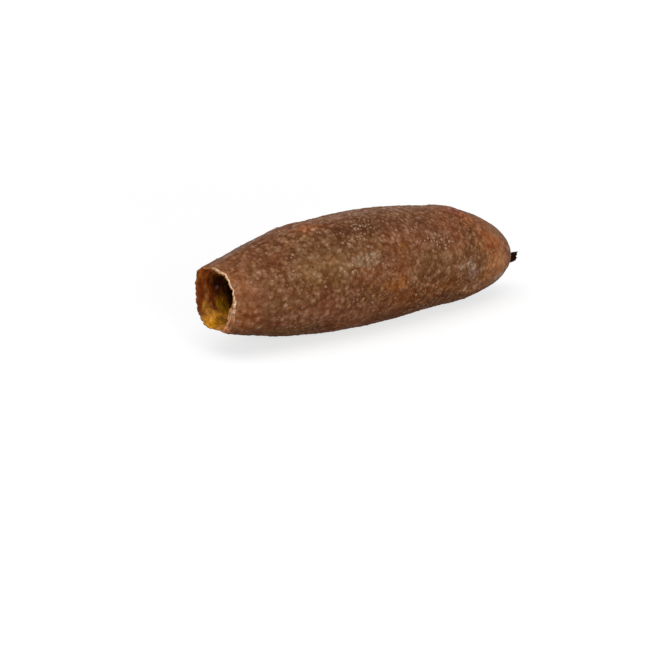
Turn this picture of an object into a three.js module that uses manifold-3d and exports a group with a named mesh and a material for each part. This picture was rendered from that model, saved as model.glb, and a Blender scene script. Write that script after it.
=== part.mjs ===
// A dry jequitiba pod lying on its side: a hollow woody fruit, open at the mouth where its lid
// has dropped out, with the dark stub of its stalk still on the closed end.
// Millimetres, +Z up. The mouth looks along -X and the stalk along +X. The origin is on the
// surface that the pod rests on, under the middle of its bounding box.

import * as THREE from "three";
import { mergeVertices } from "three/addons/utils/BufferGeometryUtils.js";
import Module from "manifold-3d";

const POD_LENGTH = 111; // mouth to the closed end, without the stalk
const ARCH = 0.35; // how far the centreline rises at mid length
const DROOP = 6.7; // how far the centreline has sunk at the stalk
const DROOP_POWER = 5; // the droop keeps to the last third of the length
const REST_HEIGHT = 16.2; // mouth's centre above the surface that the pod rests on

const TRIGON = 0.035; // the seed chamber is a rounded triangle by this share of its radius
const MOUTH_CLEARANCE = 2; // how far the hollowing tool sticks out of the mouth

const STALK_GAP = 0.3;
const STALK_LENGTH = 6.2;
const STALK_RADIUS = 1.65;
const STALK_LIFT = 0.3; // the stub bends up by this much of its length
const STALK_TURN = -0.18; // and to the side by this much

const SIDES = 40;
const STALK_SIDES = 14;
const STEPS_PER_STATION = 2;

// Each station is [distance from the mouth, radius about the centreline].
const SKIN_STATIONS = [
  [0, 9.4],
  [5, 10.9],
  [12, 12.6],
  [22, 14.7],
  [34, 16.25],
  [46, 16.7],
  [58, 16.7],
  [70, 15.95],
  [80, 15.2],
  [88, 14.25],
  [95, 12.65],
  [101, 10.45],
  [105.5, 8.3],
  [108.6, 6],
  [110.4, 3.6],
  [POD_LENGTH, 1.7],
];
const LINING_STATIONS = [
  [-MOUTH_CLEARANCE, 9.1],
  [0, 8.8],
  [3, 8.3],
  [7.5, 7.7],
  [13, 8.5],
  [22, 10.7],
  [34, 12.6],
  [48, 13.4],
  [62, 13.2],
  [75, 12.2],
  [86, 10.6],
  [94, 8.3],
  [99, 5.6],
  [101.5, 3],
  [102.2, 1],
];
const STALK_STATIONS = [
  [0, STALK_RADIUS],
  [0.4 * STALK_LENGTH, 0.85 * STALK_RADIUS],
  [0.8 * STALK_LENGTH, 0.95 * STALK_RADIUS],
  [0.97 * STALK_LENGTH, 0.7 * STALK_RADIUS],
  [STALK_LENGTH, 0.3 * STALK_RADIUS],
];

const wasm = await Module();
wasm.setup();

// The closed solid of a profile turned about +X, with flat discs at its two ends.
function turned(stations, sides) {
  const outline = new THREE.SplineCurve(
    stations.map(([along, radius]) => new THREE.Vector2(radius, along)),
  ).getPoints((stations.length - 1) * STEPS_PER_STATION);
  const first = new THREE.Vector2(0, outline[0].y);
  const last = new THREE.Vector2(0, outline.at(-1).y);
  return new THREE.LatheGeometry([first, ...outline, last], sides).rotateZ(-Math.PI / 2);
}

// Moves every vertex of a geometry to where place() puts it.
function reshape(geometry, place) {
  const position = geometry.getAttribute("position");
  const point = new THREE.Vector3();
  for (let i = 0; i < position.count; i++) {
    place(point.fromBufferAttribute(position, i));
    position.setXYZ(i, point.x, point.y, point.z);
  }
  return geometry;
}

// The centreline's height above the mouth's centre, and its slope, at a distance from the mouth.
function centreline(along) {
  const share = Math.max(along, 0) / POD_LENGTH;
  const height = ARCH * Math.sin(Math.PI * share) - DROOP * share ** DROOP_POWER;
  const rise = ARCH * Math.PI * Math.cos(Math.PI * share);
  const fall = DROOP * DROOP_POWER * share ** (DROOP_POWER - 1);
  return { height, slope: (rise - fall) / POD_LENGTH };
}

// Bends a straight body on to the pod's centreline, keeping its sections square to it.
function onCentreline(point) {
  const { height, slope } = centreline(point.x);
  const angle = Math.atan(slope);
  point.set(
    point.x - point.z * Math.sin(angle),
    point.y,
    REST_HEIGHT + height + point.z * Math.cos(angle),
  );
}

// Presses a round section towards a triangle with one corner down.
function trigonal(point) {
  const around = Math.atan2(point.y, -point.z);
  const grow = 1 + TRIGON * Math.cos(3 * around);
  point.y *= grow;
  point.z *= grow;
}

function solidOf(geometry) {
  const bare = geometry.clone().deleteAttribute("normal").deleteAttribute("uv");
  const merged = mergeVertices(bare, 1e-4);
  const vertProperties = new Float32Array(merged.getAttribute("position").array);
  const triVerts = new Uint32Array(merged.index.array);
  return new wasm.Manifold(new wasm.Mesh({ numProp: 3, vertProperties, triVerts }));
}

function geometryOf(solid) {
  const mesh = solid.getMesh();
  const geometry = new THREE.BufferGeometry();
  geometry.setAttribute("position", new THREE.BufferAttribute(mesh.vertProperties, 3));
  geometry.setIndex(new THREE.BufferAttribute(mesh.triVerts, 1));
  geometry.computeVertexNormals();
  return geometry;
}

// The woody wall: the skin's body, less the seed chamber and the flat that it rests on.
function podShell() {
  const body = reshape(turned(SKIN_STATIONS, SIDES), onCentreline);
  const chamber = reshape(reshape(turned(LINING_STATIONS, SIDES), trigonal), onCentreline);
  const tableSize = 2 * POD_LENGTH;
  const table = new THREE.BoxGeometry(tableSize, tableSize, tableSize);
  table.translate(0, 0, -tableSize / 2);
  const shell = solidOf(body).subtract(solidOf(chamber)).subtract(solidOf(table));
  const bark = new THREE.MeshStandardMaterial({ color: 0x754d33, roughness: 0.78, metalness: 0 });
  const mesh = new THREE.Mesh(geometryOf(shell), bark);
  mesh.name = "pod_shell";
  return mesh;
}

// The broken end of the stalk, leaning up and to one side from the pod's closed end.
function stalkStub() {
  const geometry = turned(STALK_STATIONS, STALK_SIDES);
  reshape(geometry, (point) => {
    const lean = point.x ** 2 / STALK_LENGTH;
    point.y += STALK_TURN * lean;
    point.z += STALK_LIFT * lean;
  });
  const dry = new THREE.MeshStandardMaterial({ color: 0x2a1709, roughness: 0.9, metalness: 0 });
  const mesh = new THREE.Mesh(geometry, dry);
  const { height, slope } = centreline(POD_LENGTH);
  const angle = Math.atan(slope);
  mesh.position.set(
    POD_LENGTH + STALK_GAP * Math.cos(angle),
    0,
    REST_HEIGHT + height + STALK_GAP * Math.sin(angle),
  );
  mesh.rotation.y = -angle;
  mesh.name = "stalk_stub";
  return mesh;
}

const pod = new THREE.Group();
pod.add(podShell(), stalkStub());
const bounds = new THREE.Box3().setFromObject(pod, true);
const middle = bounds.getCenter(new THREE.Vector3());
pod.position.set(-middle.x, -middle.y, -bounds.min.z);

export default pod;
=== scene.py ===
"""A dry jequitiba pod lying on its side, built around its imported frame.

The pod is a hollow woody fruit. Its lid has dropped out of the ragged mouth, which looks along -X,
and a dead stub of stalk sits on the closed end, along +X. Stations, lumps and stains are given in
millimetres from the mouth and in degrees round the pod: 0 on top, 90 at the side that faces -Y.
Meshes are in metres, in the frame's own axes.
"""

import math

import bpy
from bpy.props import FloatProperty, FloatVectorProperty, IntProperty, PointerProperty
from mathutils import Matrix, Vector


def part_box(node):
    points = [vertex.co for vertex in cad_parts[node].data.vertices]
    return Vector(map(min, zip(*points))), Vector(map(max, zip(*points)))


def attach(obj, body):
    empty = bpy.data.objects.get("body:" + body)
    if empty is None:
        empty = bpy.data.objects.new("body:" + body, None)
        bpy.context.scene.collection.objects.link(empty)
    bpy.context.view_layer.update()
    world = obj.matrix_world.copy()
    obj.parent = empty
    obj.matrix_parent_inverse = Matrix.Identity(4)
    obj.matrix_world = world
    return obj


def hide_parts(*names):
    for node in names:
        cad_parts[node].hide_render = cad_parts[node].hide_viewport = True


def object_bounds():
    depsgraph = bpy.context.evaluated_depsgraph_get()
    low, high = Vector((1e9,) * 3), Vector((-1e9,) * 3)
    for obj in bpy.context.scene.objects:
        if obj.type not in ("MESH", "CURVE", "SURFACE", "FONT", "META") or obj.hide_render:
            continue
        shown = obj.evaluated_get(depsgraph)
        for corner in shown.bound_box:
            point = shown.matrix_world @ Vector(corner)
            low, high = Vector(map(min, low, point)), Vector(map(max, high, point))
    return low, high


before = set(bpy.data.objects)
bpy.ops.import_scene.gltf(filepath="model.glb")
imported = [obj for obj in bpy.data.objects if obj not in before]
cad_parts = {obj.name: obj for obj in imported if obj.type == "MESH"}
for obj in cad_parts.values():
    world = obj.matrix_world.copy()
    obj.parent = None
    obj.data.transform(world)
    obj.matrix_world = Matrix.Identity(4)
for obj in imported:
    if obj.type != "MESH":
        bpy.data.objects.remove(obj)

bl_info = {
    "name": "Jequitiba Pod",
    "version": (1, 0, 0),
    "blender": (4, 5, 0),
    "location": "View3D > Sidebar > Pod",
    "description": "Builds a dry jequitiba pod with its lenticels, torn rim, lining and stalk stub",
    "category": "Object",
}

MM = 0.001
BODY = "root"
CAD_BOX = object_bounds()
SHELL_LOW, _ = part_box("pod_shell")
STUB_LOW, STUB_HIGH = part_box("stalk_stub")

# The frame's own lathe profiles, as (distance from the mouth, radius about the centreline).
SKIN_STATIONS = [
    (0, 9.4), (5, 10.9), (12, 12.6), (22, 14.7), (34, 16.25), (46, 16.7), (58, 16.7), (70, 15.95),
    (80, 15.2), (88, 14.25), (95, 12.65), (101, 10.45), (105.5, 8.3), (108.6, 6), (110.4, 3.6),
    (111, 1.7),
]
LINING_STATIONS = [
    (0, 8.8), (3, 8.3), (7.5, 7.7), (13, 8.5), (22, 10.7), (34, 12.6), (48, 13.4), (62, 13.2),
    (75, 12.2), (86, 10.6), (94, 8.3), (99, 5.6), (101.5, 3), (102.2, 1),
]
POD_LENGTH = SKIN_STATIONS[-1][0]
MOUTH_RADIUS = SKIN_STATIONS[0][1]
TRIGON = 0.035  # the chamber is a rounded triangle by this share of its radius

# The frame's own centreline: it arches a little and then droops, most of all in its last third.
ARCH = 0.35
DROOP = 6.7
DROOP_POWER = 5
REST_HEIGHT = 16.2  # of the mouth's centre
ARCH_SLOPE = ARCH * math.pi / POD_LENGTH
STALK_SLOPE = DROOP * DROOP_POWER / POD_LENGTH
MOUTH_X = SHELL_LOW.x / MM + MOUTH_RADIUS * math.sin(math.atan(ARCH_SLOPE))

# Taken off the lip's teeth and the skin's relief, so that both lie about the frame's surface.
MEAN_TOOTH = 0.28
MEAN_RELIEF = 0.14

# The rows of the wall's mesh: (nearer to the mouth than this, this far apart).
SKIN_GAPS = [(3, 0.28), (math.inf, 0.44)]
LINING_GAPS = [(4, 0.3), (16, 0.45), (math.inf, 2.4)]
CURVE_STEPS = 60  # from one station to the next, before the rows are spaced
LIP_STEPS = 4  # from the lining to the skin, across the lip
LIP_BULGE = 0.2
POLE_RISE = 0.05  # both ends of the wall close this far past their last stations
SEAM_GAP = 0.004  # points nearer than this are made one

# The wall's zones, and where between them each finish ends. A face's zone is the mean of its
# corners', so a face on a border lies between two zones.
LINING_ZONE, LIP_ZONE, SKIN_ZONE = 0.0, 0.5, 1.0
LINING_END, LIP_END = 0.3, 0.8
ALL_LINING, ALL_SKIN = 0.1, 0.95

# The skin grows wartier between the first two of these distances from the mouth, and smoother
# between the last two.
WARTY_PLACES = (2, 12, 86, 100)

# The skin's own swellings and dents: (from the mouth, round, half length, half turn, rise).
LUMPS = [
    (13, -17, 10, 40, -0.1),
    (27, -12, 7, 36, 0.35),
    (38, -12, 6, 36, -0.15),
    (84, -4, 5, 36, 0.3),
    (93, 10, 8, 40, -0.1),
    (6, 146, 7, 30, 0.3),
    (29, 146, 9, 30, -0.35),
    (47, 146, 8, 30, 0.25),
    (76, 142, 9, 30, -0.4),
    (103, 140, 5, 30, 0.2),
]

# Stains on the skin, among them painted light and shade: (from the mouth, round, half length, half turn,
# colour, strength).
SKIN_STAINS_AND_PAINTED_LIGHT = [
    # Pale dust and painted sheen along the top.
    (56, 1, 40, 17, "#a07a66", 0.7),
    (12, -14, 18, 13, "#90786a", 0.6),
    (30, 64, 20, 22, "#836340", 0.6),
    (66, 74, 16, 20, "#82603f", 0.4),
    (30, 118, 34, 20, "#946248", 0.6),
    (66, 114, 26, 18, "#8a5026", 0.6),
    (43, 31, 13, 13, "#4c3020", 0.75),
    (38, 49, 9, 10, "#664630", 0.55),
    (28, 43, 15, 16, "#684a30", 0.6),
    (66, 53, 10, 10, "#6a4630", 0.45),
    (72, 58, 6, 16, "#684832", 0.55),
    (86, 30, 6, 17, "#a8663c", 0.6),
    # Painted light: the lower side near the tail made lighter where the light from above falls off.
    (87, 121, 11, 13, "#b4805c", 0.65),
    (62, 34, 14, 16, "#6a4430", 0.55),
    (46, 17, 15, 8, "#5c3c28", 0.45),
    # Painted shadow along the underside.
    (66, 137, 25, 15, "#5a2a12", 0.5),
    (41.5, 66, 6, 9, "#937c62", 0.65),
    (30, 11, 6, 9, "#a8623a", 0.75),
    (85, 17, 6, 10, "#96594a", 0.7),
    (51, 96, 6, 9, "#a5632e", 0.7),
    (55.5, 61, 2.4, 6, "#95602f", 0.5),
    (94, 60, 9, 26, "#9a5a30", 0.8),
    (97, 98, 9, 30, "#b4784c", 0.85),
    (83, 98, 6, 22, "#9c7052", 0.6),
    (3, 112, 6, 24, "#8a4c28", 0.65),
    (0.2, 122, 1.6, 28, "#b07450", 0.7),
    (-1.6, 84, 1.7, 5, "#e4bc94", 0.9),
    (0.4, 98, 1.4, 6, "#e2b48c", 0.85),
    (94, 70, 1.8, 18, "#84431f", 0.75),
    (99, 40, 8, 14, "#765236", 0.75),
    # Painted shade along the tail's upper outline, in this row and the next two.
    (95, 6, 11, 15, "#4a4030", 0.6),
    (102, 22, 5, 14, "#4a4030", 0.6),
    (106, 44, 3, 15, "#564838", 0.6),
    (96, -100, 9, 50, "#9a5a30", 0.7),
    (40, -84, 15, 18, "#836340", 0.5),
    (68, -118, 18, 20, "#804a24", 0.5),
    (22, -62, 11, 14, "#5c3c28", 0.5),
    (76, -64, 9, 12, "#937c62", 0.45),
    (105, 62, 2, 5, "#c48c68", 0.7),
    (102, 120, 5, 11, "#ac9080", 0.5),
    (84.5, 101, 3.5, 8, "#8c7068", 0.6),
    (79.5, 88.5, 5, 2.2, "#b09880", 0.75),
    (83, 90, 1.2, 16, "#ac9484", 0.65),
]

# Stains on the lining, some of them painted shade and one a painted highlight, in the same way.
LINING_STAINS_AND_PAINTED_LIGHT = [
    (2.5, -158, 5.5, 28, "#d4921c", 0.9),
    (2.0, -134, 4, 18, "#dc9a40", 0.65),
    # Painted shade on the far wall.
    (2.5, -90, 5, 50, "#6e2a02", 0.95),
    (0.4, -114, 1.6, 28, "#5a2402", 0.85),
    (2.2, -42, 5, 22, "#b4602a", 0.9),
    (2.6, -118, 1.2, 14, "#cc9038", 0.75),
    (4.9, -120, 1.0, 15, "#6a3202", 0.8),
    (6.3, -156, 2.0, 16, "#e89c44", 0.9),
    (5.2, -130, 0.9, 9, "#6a3202", 0.7),
    (3.4, -164, 0.7, 16, "#8a5408", 0.6),
    (1.2, -140, 0.8, 18, "#7c4a10", 0.5),
    (2.9, -96, 0.8, 26, "#a86a30", 0.75),
    (7.3, -126, 2.2, 24, "#b4860c", 0.9),
    (12.5, -128, 3, 18, "#8a4210", 0.8),
    # Painted shade deeper in on the far wall.
    (6.8, -78, 2.6, 34, "#42140a", 0.95),
    # A painted highlight on the throat's lip.
    (6.3, -88, 0.8, 7, "#b88880", 0.8),
    (3.5, 177, 4.5, 14, "#c88a48", 0.85),
    (0.8, 130, 2.8, 38, "#dc9e70", 0.9),
    (0.6, 112, 2.6, 15, "#ffbe84", 0.95),
]

# Stains on the broken edge, in the same way.
EDGE_STAINS = [
    (0, -88, 6, 88, "#7c4414", 0.85),
    (0, 178, 6, 44, "#b07a48", 0.8),
    (0, -150, 6, 22, "#5a4818", 0.85),
    (0, 140, 6, 32, "#ffb884", 0.9),
    (0, 119, 6, 6, "#9c6440", 0.6),
    (0, -26, 6, 32, "#96582a", 0.9),
]

# Painted pink highlights on the rounded, weathered part of the lip, in the same way.
LIP_PAINTED_HIGHLIGHTS = [
    (0, 141, 6, 6, "#e09a78", 0.85),
    (0, 158, 6, 8, "#dc9470", 0.85),
]

# The mouth is not round: (round, half turn, rise) of its corners and flats.
MOUTH_CORNERS = [
    (-54, 34, 0.55),
    (-88, 30, -0.45),
    (-144, 34, 0.7),
    (180, 30, -0.6),
    (138, 30, 0.5),
    (-5, 42, -0.6),
]

# Where the broken lip is left thick: (round, half turn, extra thickness).
LIP_SWELLS = [
    (126, 38, 1.3),
    (120, 12, 0.65),
    (143, 11, 0.35),
    (55, 70, 0.35),
    (93, 26, 0.5),
]

# Where pale lenticels crowd: (from the mouth, round, half length, half turn, strength).
CROWDS = [
    (46, 30, 5, 12, 1.0),
    (39, 43, 5, 5, 0.8),
    (41, 66, 7, 8, 0.8),
    (24, 28, 3, 4, 0.5),
    (35, 73, 4, 5, 0.7),
    (70, 60, 14, 12, 0.6),
    (80, 88, 5, 4, 0.6),
    (51, 91, 2, 4, 0.7),
    (58, -74, 9, 14, 0.7),
    (30, -110, 6, 9, 0.6),
]

MATH = "ShaderNodeMath"
VECTOR = "ShaderNodeVectorMath"
RANGE = "ShaderNodeMapRange"
MIX = "ShaderNodeMix"
NOISE = "ShaderNodeTexNoise"
CELLS = "ShaderNodeTexVoronoi"


def linear(code):
    """The linear RGBA of an sRGB hex colour."""
    parts = [int(code[start : start + 2], 16) / 255 for start in (1, 3, 5)]
    return [c / 12.92 if c <= 0.04045 else ((c + 0.055) / 1.055) ** 2.4 for c in parts] + [1]


def size(name, description, millimetres):
    """A length property, given in millimetres and held in metres."""
    return FloatProperty(
        name=name, description=description, default=millimetres * MM, unit="LENGTH", precision=5
    )


def number(name, description, default):
    """A plain number property."""
    return FloatProperty(name=name, description=description, default=default)


def tint(name, description, code):
    """A colour property, given as an sRGB hex code and held as linear RGBA."""
    return FloatVectorProperty(
        name=name, description=description, default=linear(code), subtype="COLOR", size=4, min=0, max=1
    )


# ---------------------------------------------------------------------------
# Nodes, trees and pieces
# ---------------------------------------------------------------------------


def add(tree, kind, links=(), **settings):
    """Adds a node with its settings. Links give each input a socket, a node or a value."""
    node = tree.nodes.new(kind)
    for name, value in settings.items():
        setattr(node, name, value)
    for key, value in dict(links).items():
        if isinstance(key, str):
            socket = next(s for s in node.inputs if s.enabled and s.name == key)
        else:
            socket = node.inputs[key]
        if isinstance(value, bpy.types.Node):
            value = next(s for s in value.outputs if s.enabled)
        if isinstance(value, bpy.types.NodeSocket):
            tree.links.new(value, socket)
        else:
            socket.default_value = value
    return node


def geometry_tree(name, inputs):
    """An empty Geometry Nodes tree with these named inputs, and the sockets that give them."""
    tree = bpy.data.node_groups.new(name, "GeometryNodeTree")
    face = tree.interface
    face.new_socket("Geometry", in_out="INPUT", socket_type="NodeSocketGeometry")
    face.new_socket("Geometry", in_out="OUTPUT", socket_type="NodeSocketGeometry")
    for label, kind in inputs.items():
        face.new_socket(label, in_out="INPUT", socket_type="NodeSocket" + kind)
    return tree, add(tree, "NodeGroupInput").outputs


def run_tree(name, tree, start, values):
    """The plain mesh piece that a tree makes from a start mesh with its inputs set."""
    maker = bpy.data.objects.new(name + "_maker", start)
    bpy.context.scene.collection.objects.link(maker)
    modifier = maker.modifiers.new(tree.name, "NODES")
    modifier.node_group = tree
    for socket in tree.interface.items_tree:
        if socket.in_out == "INPUT" and socket.name in values:
            modifier[socket.identifier] = values[socket.name]
    bpy.context.view_layer.update()
    graph = bpy.context.evaluated_depsgraph_get()
    mesh = bpy.data.meshes.new_from_object(
        maker.evaluated_get(graph), preserve_all_data_layers=True, depsgraph=graph
    )
    maker.modifiers.remove(modifier)
    bpy.data.objects.remove(maker)
    piece = bpy.data.objects.new(name, mesh)
    mesh.name = name
    bpy.context.scene.collection.objects.link(piece)
    return piece


def new_material(name):
    """A material with an empty node tree, and its tree."""
    material = bpy.data.materials.new(name)
    material.use_nodes = True
    material.node_tree.nodes.clear()
    return material, material.node_tree


def finish_material(tree, **links):
    """Gives a tree its shader, with the inputs named in plain words, and its output."""
    names = {
        "colour": "Base Color",
        "rough": "Roughness",
        "normal": "Normal",
        "gloss": "Specular IOR Level",
    }
    shader = add(tree, "ShaderNodeBsdfPrincipled", {names[word]: link for word, link in links.items()})
    add(tree, "ShaderNodeOutputMaterial", {"Surface": shader})


def surface_place(tree):
    """The point on the piece in millimetres, so a pattern's scale is so many to a millimetre."""
    where = add(tree, "ShaderNodeTexCoord").outputs["Object"]
    return add(tree, VECTOR, {0: where, "Scale": 1 / MM}, operation="SCALE")


def seen_directly(tree):
    """1 where a ray comes from the camera, a mirror or glass, and 0 for the light that bounces."""
    rays = add(tree, "ShaderNodeLightPath").outputs
    direct = rays["Is Camera Ray"]
    for kind in ("Is Glossy Ray", "Is Transmission Ray"):
        direct = add(tree, MATH, {0: direct, 1: rays[kind]}, operation="MAXIMUM")
    return direct


def stir(tree, place, scale, detail, roughness=0.5):
    """A shift of up to half a unit each way, which changes smoothly from place to place."""
    noise = add(
        tree, NOISE, {"Vector": place, "Scale": scale, "Detail": detail, "Roughness": roughness}
    )
    return add(tree, VECTOR, {0: noise.outputs["Color"], 1: (0.5, 0.5, 0.5)}, operation="SUBTRACT")


# ---------------------------------------------------------------------------
# Patterns that follow the pod
# ---------------------------------------------------------------------------


def blot(tree, along, degrees, centre, turn, half_length, half_turn):
    """1 inside an oval on the pod's wall, fading to 0 at its edge."""
    shift = add(
        tree, MATH, {0: along, 1: 1 / half_length, 2: -centre / half_length}, operation="MULTIPLY_ADD"
    )
    off = add(tree, MATH, {0: degrees, 1: turn}, operation="SUBTRACT")
    off = add(tree, MATH, {0: off, 1: 180.0, 2: -180.0}, operation="WRAP")
    off = add(tree, MATH, {0: off, 1: 1 / half_turn}, operation="MULTIPLY")
    placed = add(tree, "ShaderNodeCombineXYZ", {"X": shift, "Y": off})
    away = add(tree, VECTOR, {0: placed}, operation="LENGTH").outputs["Value"]
    return add(
        tree,
        RANGE,
        {"Value": away, "From Min": 0.35, "From Max": 1.15, "To Min": 1.0, "To Max": 0.0},
        interpolation_type="SMOOTHSTEP",
    )


def with_stains_and_painted_light(tree, colour, along, degrees, stains):
    """A colour with every oval of a table laid over it: stains, and painted light and shade where the
    table holds them.
    """
    for *oval, code, strength in stains:
        mask = blot(tree, along, degrees, *oval)
        amount = add(tree, MATH, {0: mask, 1: strength}, operation="MULTIPLY")
        colour = add(tree, MIX, {"Factor": amount, "A": colour, "B": linear(code)}, data_type="RGBA")
    return colour


def blots_along(tree, along, degrees, table):
    """The sum of a table's blots: (from the mouth, round, half length, half turn, height)."""
    total = 0.0
    for *oval, height in table:
        mask = blot(tree, along, degrees, *oval)
        total = add(tree, MATH, {0: mask, 1: height, 2: total}, operation="MULTIPLY_ADD")
    return total


def bumps_round(tree, turn, table):
    """The sum of a table's smooth bumps round the pod: (round, half turn, height)."""
    total = 0.0
    for centre, half_turn, height in table:
        off = add(tree, MATH, {0: turn, 1: math.radians(centre)}, operation="SUBTRACT")
        facing = add(tree, MATH, {0: off}, operation="COSINE")
        bump = add(
            tree,
            RANGE,
            {"Value": facing, "From Min": math.cos(math.radians(half_turn)), "From Max": 1.0},
            interpolation_type="SMOOTHSTEP",
        )
        total = add(tree, MATH, {0: bump, 1: height, 2: total}, operation="MULTIPLY_ADD")
    return total


def frayed_map(tree, place, along_fray, turn_fray):
    """The pod's own map, distance from the mouth and degrees round, with its edges stirred."""
    pod_map = add(tree, "ShaderNodeAttribute", attribute_name="pod_map").outputs["Vector"]
    shift = stir(tree, place, 0.35, 4.0, 0.65)
    reach = (along_fray, turn_fray, 0.0)
    frayed = add(tree, VECTOR, {0: shift, 1: reach, 2: pod_map}, operation="MULTIPLY_ADD")
    parts = add(tree, "ShaderNodeSeparateXYZ", {0: frayed})
    return parts.outputs["X"], parts.outputs["Y"]


def warts(tree, place, per_mm):
    """Crowded warts, this many to a millimetre: their height, 0 to 1, and a random tone each."""
    shift = stir(tree, place, 0.75, 4.0, 0.68)
    warped = add(tree, VECTOR, {0: shift, 1: (1.9, 1.9, 1.9), 2: place}, operation="MULTIPLY_ADD")
    cells = add(tree, CELLS, {"Vector": warped, "Scale": per_mm, "Randomness": 1.0})
    off = cells.outputs["Distance"]
    height = add(
        tree,
        RANGE,
        {"Value": off, "From Min": 0.2, "From Max": 0.72, "To Min": 1.0, "To Max": 0.0},
        interpolation_type="SMOOTHSTEP",
    )
    tone = add(tree, "ShaderNodeSeparateXYZ", {0: cells.outputs["Color"]}).outputs["X"]
    return height, tone


def wartiness(tree, place):
    """How warty the skin is: least round the mouth and on the tail, and uneven between."""
    along = add(tree, "ShaderNodeSeparateXYZ", {0: place}).outputs["X"]
    lip, front, rear, tail = (MOUTH_X + distance for distance in WARTY_PLACES)
    by_front = add(
        tree,
        RANGE,
        {"Value": along, "From Min": lip, "From Max": front, "To Min": 0.65, "To Max": 1.0},
    )
    by_tail = add(
        tree,
        RANGE,
        {"Value": along, "From Min": rear, "From Max": tail, "To Min": 1.0, "To Max": 0.4},
    )
    uneven = add(tree, NOISE, {"Vector": place, "Scale": 0.07, "Detail": 2.0})
    patchy = add(
        tree, RANGE, {"Value": uneven, "From Min": 0.35, "From Max": 0.6, "To Min": 0.55, "To Max": 1.0}
    )
    ends = add(tree, MATH, {0: by_front, 1: by_tail}, operation="MULTIPLY")
    return add(tree, MATH, {0: ends, 1: patchy}, operation="MULTIPLY")


# ---------------------------------------------------------------------------
# Materials
# ---------------------------------------------------------------------------


def even(level):
    """A tone to multiply by, which moves red, green and blue alike."""
    return (level, level, level, 1)


def dusted(depth):
    """A tone to multiply by, which moves blue most and red least, as grey dust on brown does."""
    return (1 + depth, 1 + 1.5 * depth, 1 + 2.1 * depth, 1)


def toned(tree, colour, value, low, high, dark, light):
    """A colour times a tone, which goes from dark to light as the value goes from low to high."""
    way = add(tree, RANGE, {"Value": value, "From Min": low, "From Max": high})
    tone = add(tree, MIX, {"Factor": way, "A": dark, "B": light}, data_type="RGBA")
    layers = {"Factor": 1.0, "A": colour, "B": tone}
    return add(tree, MIX, layers, data_type="RGBA", blend_type="MULTIPLY")


def weathered_ground(tree, look, place):
    """The skin's colour under its warts: mottled, greener or redder in broad patches, with stains among
    which are painted sheen, shade and light.
    """
    mottle = add(tree, NOISE, {"Vector": place, "Scale": 0.3, "Detail": 5.0, "Roughness": 0.62})
    mottled = add(tree, RANGE, {"Value": mottle, "From Min": 0.38, "From Max": 0.62})
    colour = add(tree, MIX, {"Factor": mottled, "A": look.dark, "B": look.mid}, data_type="RGBA")
    broad = add(tree, NOISE, {"Vector": place, "Scale": 0.06, "Detail": 4.0})
    for start, end, hue, most in ((0.5, 0.62, look.olive, 0.4), (0.5, 0.38, look.red, 0.36)):
        patch = add(
            tree, RANGE, {"Value": broad, "From Min": start, "From Max": end, "To Max": most}
        )
        colour = add(tree, MIX, {"Factor": patch, "A": colour, "B": hue}, data_type="RGBA")
    along, degrees = frayed_map(tree, place, along_fray=9.0, turn_fray=26.0)
    # The stains include a painted sheen, painted shade and shadow, and painted light.
    colour = with_stains_and_painted_light(tree, colour, along, degrees, SKIN_STAINS_AND_PAINTED_LIGHT)
    lipward = add(
        tree, RANGE, {"Value": along, "From Min": 0.3, "From Max": 4.0, "To Min": 0.6, "To Max": 0.0}
    )
    return add(tree, MIX, {"Factor": lipward, "A": colour, "B": look.lip}, data_type="RGBA")


def warted_colour(tree, look, colour, place, height, tone, warty):
    """A colour darker in the gaps between the warts and in scattered pits, and with paler wart tops."""
    gaps = add(tree, MATH, {0: 1.0, 1: height}, operation="SUBTRACT")
    pale = add(tree, RANGE, {"Value": tone, "From Min": 0.5, "From Max": 1.0})
    tops = add(tree, MATH, {0: pale, 1: height}, operation="MULTIPLY")
    holes = add(tree, NOISE, {"Vector": place, "Scale": 1.5, "Detail": 1.0})
    pits = add(tree, RANGE, {"Value": holes, "From Min": 0.56, "From Max": 0.7})
    for places, hue, most in (
        (gaps, look.gap, look.gap_darkness),
        (tops, look.tan, look.top_paleness),
        (pits, look.gap, look.pit_darkness),
    ):
        amount = add(tree, MATH, {0: places, 1: warty}, operation="MULTIPLY")
        amount = add(tree, MATH, {0: amount, 1: most}, operation="MULTIPLY")
        colour = add(tree, MIX, {"Factor": amount, "A": colour, "B": hue}, data_type="RGBA")
    return colour


def weathered_skin(look, wart_width):
    """Dry fruit skin: cork-brown and matt, mottled by weather, each wart of its own tone."""
    material, tree = new_material("weathered_skin")
    place = surface_place(tree)
    height, tone = warts(tree, place, MM / wart_width)
    warty = wartiness(tree, place)
    colour = weathered_ground(tree, look, place)
    colour = warted_colour(tree, look, colour, place, height, tone, warty)
    clumps = add(tree, NOISE, {"Vector": place, "Scale": 0.5, "Detail": 1.0})
    grit = add(tree, NOISE, {"Vector": place, "Scale": 1.15, "Detail": 2.0, "Roughness": 0.6})
    for value, low, high, depth in (
        (tone, 0.0, 1.0, 0.15),
        (clumps, 0.35, 0.65, 0.17),
        (grit, 0.33, 0.67, 0.14),
    ):
        colour = toned(tree, colour, value, low, high, dusted(-depth), dusted(depth))

    fine = add(tree, NOISE, {"Vector": place, "Scale": 2.6, "Detail": 4.0, "Roughness": 0.7})
    swell = add(tree, MATH, {0: height, 1: warty}, operation="MULTIPLY")
    relief = add(tree, MATH, {0: fine, 1: 0.35, 2: swell}, operation="MULTIPLY_ADD")
    normal = add(tree, "ShaderNodeBump", {"Height": relief, "Strength": 0.6, "Distance": 0.12 * MM})
    rough = add(
        tree, RANGE, {"Value": warty, "From Min": 0.2, "From Max": 0.8, "To Min": 0.55, "To Max": 0.75}
    )
    finish_material(tree, colour=colour, rough=rough, normal=normal, gloss=0.05)
    return material


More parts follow.
